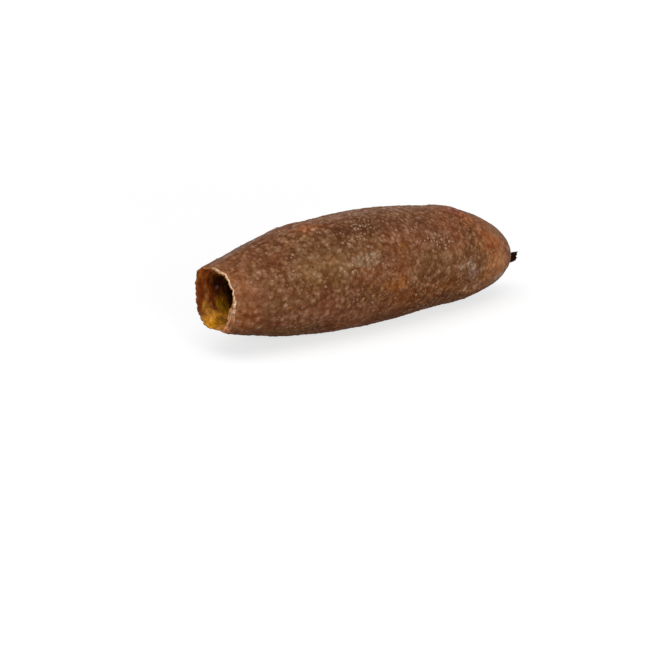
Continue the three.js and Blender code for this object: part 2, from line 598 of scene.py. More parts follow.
def broken_edge(look):
    """Freshly broken fruit wall: pale, dry and fibrous, which draws the mouth's outline."""
    material, tree = new_material("broken_edge")
    place = surface_place(tree)
    grain = add(tree, NOISE, {"Vector": place, "Scale": 1.5, "Detail": 4.0, "Roughness": 0.65})
    mottled = add(tree, RANGE, {"Value": grain, "From Min": 0.38, "From Max": 0.6})
    colour = add(
        tree, MIX, {"Factor": mottled, "A": look.edge_dark, "B": look.edge}, data_type="RGBA"
    )
    along, degrees = frayed_map(tree, place, along_fray=0.0, turn_fray=14.0)
    colour = with_stains_and_painted_light(tree, colour, along, degrees, EDGE_STAINS)

    # Low on the near side the outer half of the lip has weathered towards the skin's colour.
    crosswise, drop = (0.0, 1.0, 1.0), (0.0, 0.0, -REST_HEIGHT)
    off_axis = add(tree, VECTOR, {0: place, 1: crosswise, 2: drop}, operation="MULTIPLY_ADD")
    out = add(tree, VECTOR, {0: off_axis}, operation="LENGTH").outputs["Value"]
    outer = add(tree, RANGE, {"Value": out, "From Min": 7.5, "From Max": 8.4})
    low = blot(tree, along, degrees, centre=0, turn=140, half_length=6, half_turn=36)
    worn = add(tree, MATH, {0: outer, 1: low}, operation="MULTIPLY")
    colour = add(tree, MIX, {"Factor": worn, "A": colour, "B": look.worn_lip}, data_type="RGBA")
    # Painted pink highlights on the rounded lip.
    colour = with_stains_and_painted_light(tree, colour, along, degrees, LIP_PAINTED_HIGHLIGHTS)
    normal = add(tree, "ShaderNodeBump", {"Height": grain, "Strength": 0.7, "Distance": 0.15 * MM})
    finish_material(tree, colour=colour, rough=0.8, normal=normal, gloss=0.2)
    return material


def lining_colour(tree, look, place):
    """Ochre in torn rings, painted nearly black with shade deep in, with stains of age, painted shade and
    a painted highlight, and the rings' own streaks.
    """
    rings = add(tree, VECTOR, {0: place, 1: (0.75, 0.26, 0.26)}, operation="MULTIPLY")
    streaks = add(tree, NOISE, {"Vector": rings, "Scale": 1.0, "Detail": 4.0, "Roughness": 0.65})
    streaked = add(tree, RANGE, {"Value": streaks, "From Min": 0.4, "From Max": 0.62})
    colour = add(
        tree, MIX, {"Factor": streaked, "A": look.lining_dark, "B": look.lining}, data_type="RGBA"
    )
    along, degrees = frayed_map(tree, place, along_fray=3.0, turn_fray=30.0)
    # Painted shade: the lining goes nearly black deeper in the chamber.
    deep = add(
        tree, RANGE, {"Value": along, "From Min": 7.0, "From Max": 11.0}, interpolation_type="SMOOTHSTEP"
    )
    colour = add(tree, MIX, {"Factor": deep, "A": colour, "B": look.lining_painted_shade}, data_type="RGBA")
    # The stains include painted shade on the far wall and a painted highlight on the throat's lip.
    return with_stains_and_painted_light(tree, colour, along, degrees, LINING_STAINS_AND_PAINTED_LIGHT), streaks


def chamber_lining(look):
    """The dry inner wall: a rough ochre tissue with stains of age, and with painted shade deep in and on
    the far wall.
    """
    material, tree = new_material("chamber_lining")
    place = surface_place(tree)
    colour, streaks = lining_colour(tree, look, place)
    blotches = add(tree, NOISE, {"Vector": place, "Scale": 0.65, "Detail": 3.0, "Roughness": 0.6})
    for value, least, most in ((streaks, 0.7, 1.25), (blotches, 0.55, 1.5)):
        colour = toned(tree, colour, value, 0.35, 0.65, even(least), even(most))
    normal = add(tree, "ShaderNodeBump", {"Height": streaks, "Strength": 0.8, "Distance": 0.25 * MM})
    finish_material(tree, colour=colour, rough=0.7, normal=normal, gloss=0.15)
    return material


def cork_scale(look):
    """Cork that has pushed through the skin: pale, dusty and dead matt, no two of one tone."""
    material, tree = new_material("cork_scale")
    tone = add(tree, "ShaderNodeAttribute", attribute_name="tone").outputs["Fac"]
    colour = add(tree, MIX, {"Factor": tone, "A": look.cork, "B": look.pale}, data_type="RGBA")
    finish_material(tree, colour=colour, rough=0.9, gloss=0.0)
    return material


def torn_fibre(look):
    """Loose ends of the wall's fibres: dry and pale as the fresh break, no two of one tone."""
    material, tree = new_material("torn_fibre")
    tone = add(tree, "ShaderNodeAttribute", attribute_name="tone").outputs["Fac"]
    colour = add(tree, MIX, {"Factor": tone, "A": look.edge_dark, "B": look.edge}, data_type="RGBA")
    finish_material(tree, colour=colour, rough=0.75, gloss=0.3)
    return material


def lining_fibre(look):
    """Strands of the dry lining: the lining's colours with its painted shade and highlight, lighter or
    darker strand by strand.
    """
    material, tree = new_material("lining_fibre")
    colour, _ = lining_colour(tree, look, surface_place(tree))
    tone = add(tree, "ShaderNodeAttribute", attribute_name="tone").outputs["Fac"]
    colour = toned(tree, colour, tone, 0.0, 1.0, even(0.6), even(1.7))
    finish_material(tree, colour=colour, rough=0.6, gloss=0.25)
    return material


def dead_stalk(look):
    """Dead stalk: bark gone almost black, browner on its ridges, dry and dead matt."""
    material, tree = new_material("dead_stalk")
    place = surface_place(tree)
    drawn = add(tree, VECTOR, {0: place, 1: (0.35, 1.6, 1.6)}, operation="MULTIPLY")
    grain = add(tree, NOISE, {"Vector": drawn, "Scale": 1.2, "Detail": 5.0, "Roughness": 0.7})
    mottled = add(tree, RANGE, {"Value": grain, "From Min": 0.4, "From Max": 0.68})
    colour = add(
        tree, MIX, {"Factor": mottled, "A": look.stalk, "B": look.stalk_ridge}, data_type="RGBA"
    )
    normal = add(tree, "ShaderNodeBump", {"Height": grain, "Strength": 0.8, "Distance": 0.2 * MM})
    finish_material(tree, colour=colour, rough=0.85, normal=normal, gloss=0.04)
    return material


def studio_paper(stage):
    """Pale seamless paper: it takes a light shadow near the pod and is plain white further off."""
    material, tree = new_material("studio_paper")
    place = surface_place(tree)
    away = add(tree, VECTOR, {0: place}, operation="LENGTH").outputs["Value"]
    start, end = stage.paper_near / MM, stage.paper_far / MM
    near = add(
        tree,
        RANGE,
        {"Value": away, "From Min": start, "From Max": end, "To Min": 1.0, "To Max": 0.0},
        interpolation_type="SMOOTHSTEP",
    )
    direct = seen_directly(tree)
    black = (0, 0, 0, 1)
    shown = add(tree, MIX, {"Factor": near, "A": black, "B": stage.paper}, data_type="RGBA")
    colour = add(
        tree, MIX, {"Factor": direct, "A": stage.paper_bounce, "B": shown}, data_type="RGBA"
    )
    own = add(tree, RANGE, {"Value": near, "To Min": 1.0, "To Max": stage.paper_glow})
    own = add(tree, MATH, {0: own, 1: direct}, operation="MULTIPLY")
    matt = add(tree, "ShaderNodeBsdfDiffuse", {"Color": colour})
    glow = add(tree, "ShaderNodeEmission", {"Color": (1, 1, 1, 1), "Strength": own})
    both = add(tree, "ShaderNodeAddShader", {0: matt, 1: glow})
    add(tree, "ShaderNodeOutputMaterial", {"Surface": both})
    return material


# ---------------------------------------------------------------------------
# Shapes
# ---------------------------------------------------------------------------


def catmull_rom(stations, steps):
    """Points along a smooth curve through the stations, the way the frame draws its profiles."""
    points = [Vector(station) for station in stations]
    last = len(points) - 1
    curve = []
    for i in range(last):
        before, start = points[max(i - 1, 0)], points[i]
        end, after = points[i + 1], points[min(i + 2, last)]
        leave, arrive = (end - before) / 2, (after - start) / 2
        for step in range(steps):
            way = step / steps
            curve.append(
                (2 * start - 2 * end + leave + arrive) * way**3
                + (-3 * start + 3 * end - 2 * leave - arrive) * way**2
                + leave * way
                + start
            )
    return curve + [points[-1]]


def spaced(curve, gaps):
    """Points along a curve, spaced by a table of (nearer to the mouth than this, this far apart)."""
    kept, travelled = [curve[0]], 0.0
    for before, here in zip(curve, curve[1:]):
        travelled += (here - before).length
        if travelled >= next(gap for limit, gap in gaps if here.x < limit):
            kept.append(here)
            travelled = 0.0
    return kept + [curve[-1]]


def wall_profile():
    """The wall's section from the chamber's end, round the lip, to the stalk, as a line mesh.

    A vertex holds its distance from the mouth and its radius in millimetres, and its zone.
    """
    skin = spaced(catmull_rom(SKIN_STATIONS, CURVE_STEPS), SKIN_GAPS)
    lining = spaced(catmull_rom(LINING_STATIONS, CURVE_STEPS), LINING_GAPS)
    inner, outer = LINING_STATIONS[0][1], SKIN_STATIONS[0][1]
    lip = []
    for step in range(1, LIP_STEPS):
        way = step / LIP_STEPS
        lip.append((-LIP_BULGE * math.sin(math.pi * way), inner + (outer - inner) * way))
    points = [(LINING_STATIONS[-1][0] + POLE_RISE, 0, LINING_ZONE)]
    points += [(point.x, point.y, LINING_ZONE) for point in reversed(lining)]
    points += [(along, radius, LIP_ZONE) for along, radius in lip]
    points += [(point.x, point.y, SKIN_ZONE) for point in skin]
    points += [(POD_LENGTH + POLE_RISE, 0, SKIN_ZONE)]
    mesh = bpy.data.meshes.new("wall_profile")
    mesh.from_pydata(points, [(i, i + 1) for i in range(len(points) - 1)], [])
    return mesh


def flat_bellied(tree, shape, spot):
    """Lays the shape's belly flat where it would go below the surface it rests on."""
    parts = add(tree, "ShaderNodeSeparateXYZ", {0: spot})
    level = add(tree, MATH, {0: parts.outputs["Z"], 1: 0.0}, operation="MAXIMUM")
    seated = add(
        tree, "ShaderNodeCombineXYZ", {"X": parts.outputs["X"], "Y": parts.outputs["Y"], "Z": level}
    )
    return add(tree, "GeometryNodeSetPosition", {"Geometry": shape, "Position": seated})


def made_real(tree, instances, tone):
    """Real geometry from instances, each of which keeps its own tone."""
    kept = add(
        tree,
        "GeometryNodeStoreNamedAttribute",
        {"Geometry": instances, "Name": "tone", "Value": tone},
        data_type="FLOAT",
        domain="INSTANCE",
    )
    return add(tree, "GeometryNodeRealizeInstances", {"Geometry": kept})


def torn_lip(tree, given, cosine, sine, swollen, along):
    """The distance from the mouth, with the lip torn into teeth and deeper chips here and there."""
    ring = add(tree, "ShaderNodeCombineXYZ", {"X": cosine, "Y": sine})
    ring = add(tree, VECTOR, {0: ring, "Scale": float(MOUTH_RADIUS)}, operation="SCALE")
    pitch = add(tree, MATH, {0: 1.0, 1: given["Tooth Pitch"]}, operation="DIVIDE")
    teeth = add(tree, CELLS, {"Vector": ring, "Scale": pitch}).outputs["Distance"]
    uneven = add(tree, NOISE, {"Vector": ring, "Scale": 0.45, "Detail": 1.0})
    deeper = add(
        tree, RANGE, {"Value": uneven, "From Min": 0.35, "From Max": 0.65, "To Min": 0.2, "To Max": 1.8}
    )
    teeth = add(tree, MATH, {0: teeth, 1: given["Tooth Depth"]}, operation="MULTIPLY")
    teeth = add(tree, MATH, {0: teeth, 1: deeper}, operation="MULTIPLY")
    gapped = add(tree, NOISE, {"Vector": ring, "Scale": 0.3, "Detail": 2.0})
    chips = add(tree, RANGE, {"Value": gapped, "From Min": 0.56, "From Max": 0.68})
    cut = add(tree, MATH, {0: chips, 1: given["Chip Depth"], 2: teeth}, operation="MULTIPLY_ADD")
    blunt = add(
        tree, RANGE, {"Value": swollen, "From Min": 0.5, "From Max": 1.6, "To Min": 1.0, "To Max": 0.5}
    )
    cut = add(tree, MATH, {0: cut, 1: blunt}, operation="MULTIPLY")
    cut = add(tree, MATH, {0: cut, 1: MEAN_TOOTH}, operation="SUBTRACT")
    lipward = add(
        tree,
        RANGE,
        {"Value": along, "From Min": 0.0, "From Max": 2.5, "To Min": 1.0, "To Max": 0.0},
        interpolation_type="SMOOTHSTEP",
    )
    return add(tree, MATH, {0: cut, 1: lipward, 2: along}, operation="MULTIPLY_ADD")


def wall_reach(tree, given, section, turn, degrees, swollen):
    """How far the wall is from the centreline: a thick lip, a rounded triangle inside, and lumps."""
    along, radius, zone = section
    inside = add(tree, MATH, {0: 1.0, 1: zone}, operation="SUBTRACT")
    shallow = add(
        tree,
        RANGE,
        {"Value": along, "From Min": 0.5, "From Max": 5.0, "To Min": 1.0, "To Max": 0.0},
        interpolation_type="SMOOTHSTEP",
    )
    thicker = add(tree, MATH, {0: swollen, 1: shallow}, operation="MULTIPLY")
    thicker = add(tree, MATH, {0: thicker, 1: inside}, operation="MULTIPLY")
    thicker = add(tree, MATH, {0: thicker, 1: given["Lip Swell"]}, operation="MULTIPLY")
    three = add(tree, MATH, {0: turn, 1: 3.0}, operation="MULTIPLY")
    three = add(tree, MATH, {0: three}, operation="COSINE")
    corner = add(tree, MATH, {0: three, 1: inside}, operation="MULTIPLY")
    corner = add(tree, MATH, {0: corner, 1: -TRIGON, 2: 1.0}, operation="MULTIPLY_ADD")
    reach = add(tree, MATH, {0: radius, 1: corner}, operation="MULTIPLY")
    reach = add(tree, MATH, {0: reach, 1: thicker}, operation="SUBTRACT")
    corners = bumps_round(tree, turn, MOUTH_CORNERS)
    by_mouth = add(
        tree,
        RANGE,
        {"Value": along, "From Min": 1.0, "From Max": 9.0, "To Min": 1.0, "To Max": 0.0},
        interpolation_type="SMOOTHSTEP",
    )
    reach = add(tree, MATH, {0: corners, 1: by_mouth, 2: reach}, operation="MULTIPLY_ADD")
    rise = blots_along(tree, along, degrees, LUMPS)
    return add(tree, MATH, {0: rise, 1: zone, 2: reach}, operation="MULTIPLY_ADD")


def on_centreline(tree, along, side, lift):
    """The place in metres of a point beside the centreline, which droops towards the stalk."""
    way = add(tree, MATH, {0: along, 1: float(POD_LENGTH)}, operation="DIVIDE")
    way = add(tree, MATH, {0: way, 1: 0.0}, operation="MAXIMUM")
    arc = add(tree, MATH, {0: way, 1: math.pi}, operation="MULTIPLY")
    arch = add(tree, MATH, {0: arc}, operation="SINE")
    fall = add(tree, MATH, {0: way, 1: float(DROOP_POWER)}, operation="POWER")
    fall = add(tree, MATH, {0: fall, 1: -DROOP, 2: REST_HEIGHT}, operation="MULTIPLY_ADD")
    middle = add(tree, MATH, {0: arch, 1: ARCH, 2: fall}, operation="MULTIPLY_ADD")
    arch_slope = add(tree, MATH, {0: arc}, operation="COSINE")
    arch_slope = add(tree, MATH, {0: arch_slope, 1: ARCH_SLOPE}, operation="MULTIPLY")
    fall_slope = add(tree, MATH, {0: way, 1: DROOP_POWER - 1.0}, operation="POWER")
    slope = add(
        tree, MATH, {0: fall_slope, 1: -STALK_SLOPE, 2: arch_slope}, operation="MULTIPLY_ADD"
    )
    lean = add(tree, MATH, {0: slope}, operation="ARCTANGENT")
    lean_sine = add(tree, MATH, {0: lean}, operation="SINE")
    lean_cosine = add(tree, MATH, {0: lean}, operation="COSINE")
    back = add(tree, MATH, {0: lift, 1: lean_sine}, operation="MULTIPLY")
    forward = add(tree, MATH, {0: along, 1: back}, operation="SUBTRACT")
    forward = add(tree, MATH, {0: forward, 1: MOUTH_X}, operation="ADD")
    height = add(tree, MATH, {0: lift, 1: lean_cosine, 2: middle}, operation="MULTIPLY_ADD")
    point = add(tree, "ShaderNodeCombineXYZ", {"X": forward, "Y": side, "Z": height})
    return add(tree, VECTOR, {0: point, "Scale": MM}, operation="SCALE")


def wall_relief(tree, given, place, zone):
    """Relief in metres: slow waves and warts on the skin, ring-like folds in the lining."""
    per_mm = add(tree, MATH, {0: 1.0, 1: given["Wart Width"]}, operation="DIVIDE")
    wart_height, tone = warts(tree, place, per_mm)
    warty = wartiness(tree, place)
    taller = add(tree, MATH, {0: tone, 1: 0.7, 2: 0.55}, operation="MULTIPLY_ADD")
    warted = add(tree, MATH, {0: wart_height, 1: taller}, operation="MULTIPLY")
    warted = add(tree, MATH, {0: warted, 1: warty}, operation="MULTIPLY")
    warted = add(tree, MATH, {0: warted, 1: given["Wart Height"]}, operation="MULTIPLY")
    slow = add(tree, NOISE, {"Vector": place, "Scale": 0.09, "Detail": 3.0, "Roughness": 0.55})
    slow = add(tree, MATH, {0: slow, 1: 0.5}, operation="SUBTRACT")
    waved = add(tree, MATH, {0: slow, 1: given["Wave Height"], 2: warted}, operation="MULTIPLY_ADD")
    waved = add(tree, MATH, {0: waved, 1: MEAN_RELIEF}, operation="SUBTRACT")
    skin_relief = add(tree, MATH, {0: waved, 1: zone}, operation="MULTIPLY")
    rings = add(tree, VECTOR, {0: place, 1: (0.7, 0.14, 0.14)}, operation="MULTIPLY")
    folds = add(tree, NOISE, {"Vector": rings, "Scale": 1.0, "Detail": 3.0})
    folds = add(tree, MATH, {0: folds, 1: 0.5}, operation="SUBTRACT")
    lined = add(tree, MATH, {0: 1.0, 1: zone}, operation="SUBTRACT")
    lined = add(tree, MATH, {0: lined, 1: given["Lining Relief"]}, operation="MULTIPLY")
    relief = add(tree, MATH, {0: folds, 1: lined, 2: skin_relief}, operation="MULTIPLY_ADD")
    return add(tree, MATH, {0: relief, 1: MM}, operation="MULTIPLY")


def wall_tree():
    """Turns a section line into the pod's wall: bent, lumped, warted, torn at the lip."""
    tree, given = geometry_tree(
        "Pod wall",
        {
            "Sides": "Int",
            "Rows": "Int",
            "Tooth Pitch": "Float",
            "Tooth Depth": "Float",
            "Chip Depth": "Float",
            "Lip Swell": "Float",
            "Wart Width": "Float",
            "Wart Height": "Float",
            "Wave Height": "Float",
            "Lining Relief": "Float",
            "Skin": "Material",
            "Broken Edge": "Material",
            "Lining": "Material",
        },
    )

    # A flat grid has a column for each turn of the section and a row for each of its points.
    columns = add(tree, MATH, {0: given["Sides"], 1: 1.0}, operation="ADD")
    grid = add(
        tree,
        "GeometryNodeMeshGrid",
        {"Size X": 1.0, "Size Y": 1.0, "Vertices X": columns, "Vertices Y": given["Rows"]},
    )
    spot = add(tree, "GeometryNodeInputPosition")
    flat = add(tree, "ShaderNodeSeparateXYZ", {0: spot})
    turn = add(tree, MATH, {0: flat.outputs["X"], 1: math.tau}, operation="MULTIPLY")
    last_row = add(tree, MATH, {0: given["Rows"], 1: 1.0}, operation="SUBTRACT")
    half_rows = add(tree, MATH, {0: given["Rows"], 1: 0.5}, operation="MULTIPLY")
    row = add(tree, MATH, {0: flat.outputs["Y"], 1: last_row, 2: half_rows}, operation="MULTIPLY_ADD")
    station = add(
        tree,
        "GeometryNodeSampleIndex",
        {"Geometry": given["Geometry"], "Value": spot, "Index": row},
        data_type="FLOAT_VECTOR",
    )
    section = add(tree, "ShaderNodeSeparateXYZ", {0: station}).outputs
    along, _, zone = section

    # The section is torn, swollen and turned about the centreline.
    cosine = add(tree, MATH, {0: turn}, operation="COSINE")
    sine = add(tree, MATH, {0: turn}, operation="SINE")
    degrees = add(tree, MATH, {0: turn}, operation="DEGREES")
    swollen = bumps_round(tree, turn, LIP_SWELLS)
    torn = torn_lip(tree, given, cosine, sine, swollen, along)
    reach = wall_reach(tree, given, section, turn, degrees, swollen)
    side = add(tree, MATH, {0: reach, 1: sine}, operation="MULTIPLY")
    side = add(tree, MATH, {0: side, 1: -1.0}, operation="MULTIPLY")
    lift = add(tree, MATH, {0: reach, 1: cosine}, operation="MULTIPLY")
    point = on_centreline(tree, torn, side, lift)

    # The wall keeps its own map for the stains and its zone for the finishes.
    pod_map = add(tree, "ShaderNodeCombineXYZ", {"X": along, "Y": degrees})
    mapped = add(
        tree,
        "GeometryNodeStoreNamedAttribute",
        {"Geometry": grid.outputs["Mesh"], "Name": "pod_map", "Value": pod_map},
        data_type="FLOAT_VECTOR",
        domain="CORNER",
    )
    zoned = add(
        tree,
        "GeometryNodeStoreNamedAttribute",
        {"Geometry": mapped, "Name": "zone", "Value": zone},
        data_type="FLOAT",
        domain="POINT",
    )
    turned = add(tree, "GeometryNodeSetPosition", {"Geometry": zoned, "Position": point})
    closed = add(
        tree, "GeometryNodeMergeByDistance", {"Geometry": turned, "Distance": SEAM_GAP * MM}
    )

    # The relief stands on the closed wall, along its normals.
    place = add(tree, VECTOR, {0: spot, "Scale": 1 / MM}, operation="SCALE")
    own_zone = add(tree, "GeometryNodeInputNamedAttribute", {"Name": "zone"}, data_type="FLOAT")
    relief = wall_relief(tree, given, place, own_zone)
    normal = add(tree, "GeometryNodeInputNormal")
    outward = add(tree, VECTOR, {0: normal, "Scale": relief}, operation="SCALE")
    grown = add(tree, "GeometryNodeSetPosition", {"Geometry": closed, "Offset": outward})
    rested = flat_bellied(tree, grown, spot)

    smooth = add(tree, "GeometryNodeSetShadeSmooth", {"Geometry": rested})
    shape = add(tree, "GeometryNodeSetMaterial", {"Geometry": smooth, "Material": given["Skin"]})
    for label, end in (("Broken Edge", LIP_END), ("Lining", LINING_END)):
        chosen = add(tree, MATH, {0: own_zone, 1: end}, operation="LESS_THAN")
        shape = add(
            tree,
            "GeometryNodeSetMaterial",
            {"Geometry": shape, "Selection": chosen, "Material": given[label]},
        )
    add(tree, "NodeGroupOutput", {0: shape})
    return tree


def cork_stamp(tree, spot):
    """A low dome of seven sides with a closed base, one unit in radius and in height."""
    cone = add(
        tree,
        "GeometryNodeMeshCone",
        {"Vertices": 7, "Side Segments": 2, "Radius Top": 0.3, "Radius Bottom": 1.0, "Depth": 1.0},
    )
    parts = add(tree, "ShaderNodeSeparateXYZ", {0: spot}).outputs
    flat = add(tree, VECTOR, {0: spot, 1: (1.0, 1.0, 0.0)}, operation="MULTIPLY")
    out = add(tree, VECTOR, {0: flat}, operation="LENGTH").outputs["Value"]
    fallen = add(tree, MATH, {0: out, 1: out}, operation="MULTIPLY")
    height = add(tree, MATH, {0: 1.0, 1: fallen}, operation="SUBTRACT")
    domed = add(tree, "ShaderNodeCombineXYZ", {"X": parts["X"], "Y": parts["Y"], "Z": height})
    return add(
        tree, "GeometryNodeSetPosition", {"Geometry": cone.outputs["Mesh"], "Position": domed}
    )


def cork_density(tree, place, crowded):
    """How closely cork scales stand, 0 to 1: in drifts over the warty skin, and in the crowds."""
    drift = add(tree, NOISE, {"Vector": place, "Scale": 0.11, "Detail": 3.0})
    density = add(
        tree, RANGE, {"Value": drift, "From Min": 0.38, "From Max": 0.68, "To Min": 0.05, "To Max": 0.5}
    )
    warty = wartiness(tree, place)
    density = add(tree, MATH, {0: density, 1: warty}, operation="MULTIPLY")
    density = add(tree, MATH, {0: density, 1: crowded}, operation="ADD")
    return add(tree, RANGE, {"Value": density})


def cork_tree():
    """Scatters low cork scales over the skin, thickest in the crowds."""
    tree, given = geometry_tree(
        "Cork scales",
        {
            "Spacing": "Float",
            "Crowding": "Float",
            "Smallest": "Float",
            "Largest": "Float",
            "Thickness": "Float",
            "Seed": "Int",
            "Cork": "Material",
        },
    )
    spot = add(tree, "GeometryNodeInputPosition")
    place = add(tree, VECTOR, {0: spot, "Scale": 1 / MM}, operation="SCALE")
    zone = add(tree, "GeometryNodeInputNamedAttribute", {"Name": "zone"}, data_type="FLOAT")
    pod_map = add(
        tree, "GeometryNodeInputNamedAttribute", {"Name": "pod_map"}, data_type="FLOAT_VECTOR"
    )
    parts = add(tree, "ShaderNodeSeparateXYZ", {0: pod_map}).outputs
    crowded = blots_along(tree, parts["X"], parts["Y"], CROWDS)
    on_skin = add(tree, MATH, {0: zone, 1: ALL_SKIN}, operation="GREATER_THAN")
    scattered = add(
        tree,
        "GeometryNodeDistributePointsOnFaces",
        {
            "Mesh": given["Geometry"],
            "Selection": on_skin,
            "Distance Min": given["Spacing"],
            "Density Max": given["Crowding"],
            "Density Factor": cork_density(tree, place, crowded),
            "Seed": given["Seed"],
        },
        distribute_method="POISSON",
    )

    # Each scale has its own turn, width and thickness, and small ones are common.
    any_turn = {"Max": (0.0, 0.0, math.tau), "Seed": 3}
    turn = add(tree, "FunctionNodeRandomValue", any_turn, data_type="FLOAT_VECTOR")
    spin = add(tree, "FunctionNodeEulerToRotation", {0: turn})
    upright = scattered.outputs["Rotation"]
    stand = add(
        tree, "FunctionNodeRotateRotation", {0: upright, 1: spin}, rotation_space="LOCAL"
    )
    luck = add(tree, "FunctionNodeRandomValue", {"Min": 0.0, "Max": 1.0, "Seed": 5}, data_type="FLOAT")
    luck = add(tree, MATH, {0: luck, 1: 1.8}, operation="POWER")
    wide = add(
        tree, RANGE, {"Value": luck, "To Min": given["Smallest"], "To Max": given["Largest"]}
    )
    squeeze = add(tree, "FunctionNodeRandomValue", {"Min": 0.5, "Max": 1.0, "Seed": 6}, data_type="FLOAT")
    narrow = add(tree, MATH, {0: wide, 1: squeeze}, operation="MULTIPLY")
    thick = add(tree, MATH, {0: luck, 1: 0.6, 2: 0.7}, operation="MULTIPLY_ADD")
    thick = add(tree, MATH, {0: thick, 1: given["Thickness"]}, operation="MULTIPLY")
    stamp_size = add(tree, "ShaderNodeCombineXYZ", {"X": wide, "Y": narrow, "Z": thick})
    scales = add(
        tree,
        "GeometryNodeInstanceOnPoints",
        {
            "Points": scattered.outputs["Points"],
            "Instance": cork_stamp(tree, spot),
            "Rotation": stand,
            "Scale": stamp_size,
        },
    )

    # Few are pale, except in the crowds. Their outlines are ragged.
    chance = add(tree, "FunctionNodeRandomValue", {"Min": 0.0, "Max": 1.0, "Seed": 7}, data_type="FLOAT")
    tone = add(tree, MATH, {0: chance, 1: 3.0}, operation="POWER")
    tone = add(tree, MATH, {0: tone, 1: 0.5}, operation="MULTIPLY")
    tone = add(tree, MATH, {0: chance, 1: crowded, 2: tone}, operation="MULTIPLY_ADD")
    real = made_real(tree, scales, tone)
    ragged = stir(tree, place, 2.0, 1.0)
    ragged = add(tree, VECTOR, {0: ragged, "Scale": 0.25 * MM}, operation="SCALE")
    shape = add(tree, "GeometryNodeSetPosition", {"Geometry": real, "Offset": ragged})
    shape = flat_bellied(tree, shape, spot)
    shape = add(tree, "GeometryNodeSetShadeSmooth", {"Geometry": shape})
    shape = add(tree, "GeometryNodeSetMaterial", {"Geometry": shape, "Material": given["Cork"]})
    add(tree, "NodeGroupOutput", {0: shape})
    return tree


def splinter_tree():
    """Stands pale splinters on the broken lip, leaning out of the mouth."""
    tree, given = geometry_tree(
        "Rim splinters",
        {"Crowding": "Float", "Shortest": "Float", "Longest": "Float", "Seed": "Int", "Fibre": "Material"},
    )
    zone = add(tree, "GeometryNodeInputNamedAttribute", {"Name": "zone"}, data_type="FLOAT")
    off_lip = add(tree, MATH, {0: zone, 1: LIP_ZONE}, operation="SUBTRACT")
    off_lip = add(tree, MATH, {0: off_lip}, operation="ABSOLUTE")
    on_lip = add(tree, MATH, {0: off_lip, 1: LIP_END - LIP_ZONE}, operation="LESS_THAN")
    scattered = add(
        tree,
        "GeometryNodeDistributePointsOnFaces",
        {
            "Mesh": given["Geometry"],
            "Selection": on_lip,
            "Density": given["Crowding"],
            "Seed": given["Seed"],
        },
    )
    stamp = add(
        tree,
        "GeometryNodeMeshCone",
        {"Vertices": 4, "Side Segments": 2, "Radius Top": 0.0, "Radius Bottom": 0.16, "Depth": 1.0},
    )
    outwards = {"Min": (-1.0, -0.55, -0.55), "Max": (-0.8, 0.55, 0.55), "Seed": 2}
    lean = add(tree, "FunctionNodeRandomValue", outwards, data_type="FLOAT_VECTOR")
    stand = add(tree, "FunctionNodeAlignRotationToVector", {"Vector": lean}, axis="Z")
    luck = add(tree, "FunctionNodeRandomValue", {"Min": 0.0, "Max": 1.0, "Seed": 5}, data_type="FLOAT")
    luck = add(tree, MATH, {0: luck, 1: 2.5}, operation="POWER")
    tall = add(tree, RANGE, {"Value": luck, "To Min": given["Shortest"], "To Max": given["Longest"]})
    stamps = add(
        tree,
        "GeometryNodeInstanceOnPoints",
        {"Points": scattered.outputs["Points"], "Instance": stamp, "Rotation": stand, "Scale": tall},
    )
    tone = add(tree, "FunctionNodeRandomValue", {"Min": 0.0, "Max": 1.0, "Seed": 7}, data_type="FLOAT")
    real = made_real(tree, stamps, tone)
    shape = add(tree, "GeometryNodeSetMaterial", {"Geometry": real, "Material": given["Fibre"]})
    add(tree, "NodeGroupOutput", {0: shape})
    return tree


def strand_tubes(tree, given, lines):
    """Lays lines on to the wall and makes strands of them, thickest half way along."""
    strands = add(tree, "GeometryNodeResampleCurve", {"Curve": lines, "Count": 9})
    nearest = add(tree, "GeometryNodeProximity", {0: given["Geometry"]}, target_element="FACES")
    followed = add(
        tree, "GeometryNodeSetPosition", {"Geometry": strands, "Position": nearest.outputs["Position"]}
    )
    way = add(tree, "GeometryNodeSplineParameter").outputs["Factor"]
    both = add(tree, MATH, {0: 1.0, 1: way}, operation="SUBTRACT")
    both = add(tree, MATH, {0: both, 1: way}, operation="MULTIPLY")
    taper = add(tree, MATH, {0: both, 1: 4.0}, operation="MULTIPLY")
    width = add(tree, MATH, {0: taper, 1: 0.9, 2: 0.1}, operation="MULTIPLY_ADD")
    width = add(tree, MATH, {0: width, 1: given["Thickness"]}, operation="MULTIPLY")
    ring = add(tree, "GeometryNodeCurvePrimitiveCircle", {"Resolution": 4, "Radius": 1.0})
    return add(
        tree,
        "GeometryNodeCurveToMesh",
        {
            "Curve": followed,
            "Profile Curve": ring.outputs["Curve"],
            "Scale": width,
            "Fill Caps": True,
        },
    )


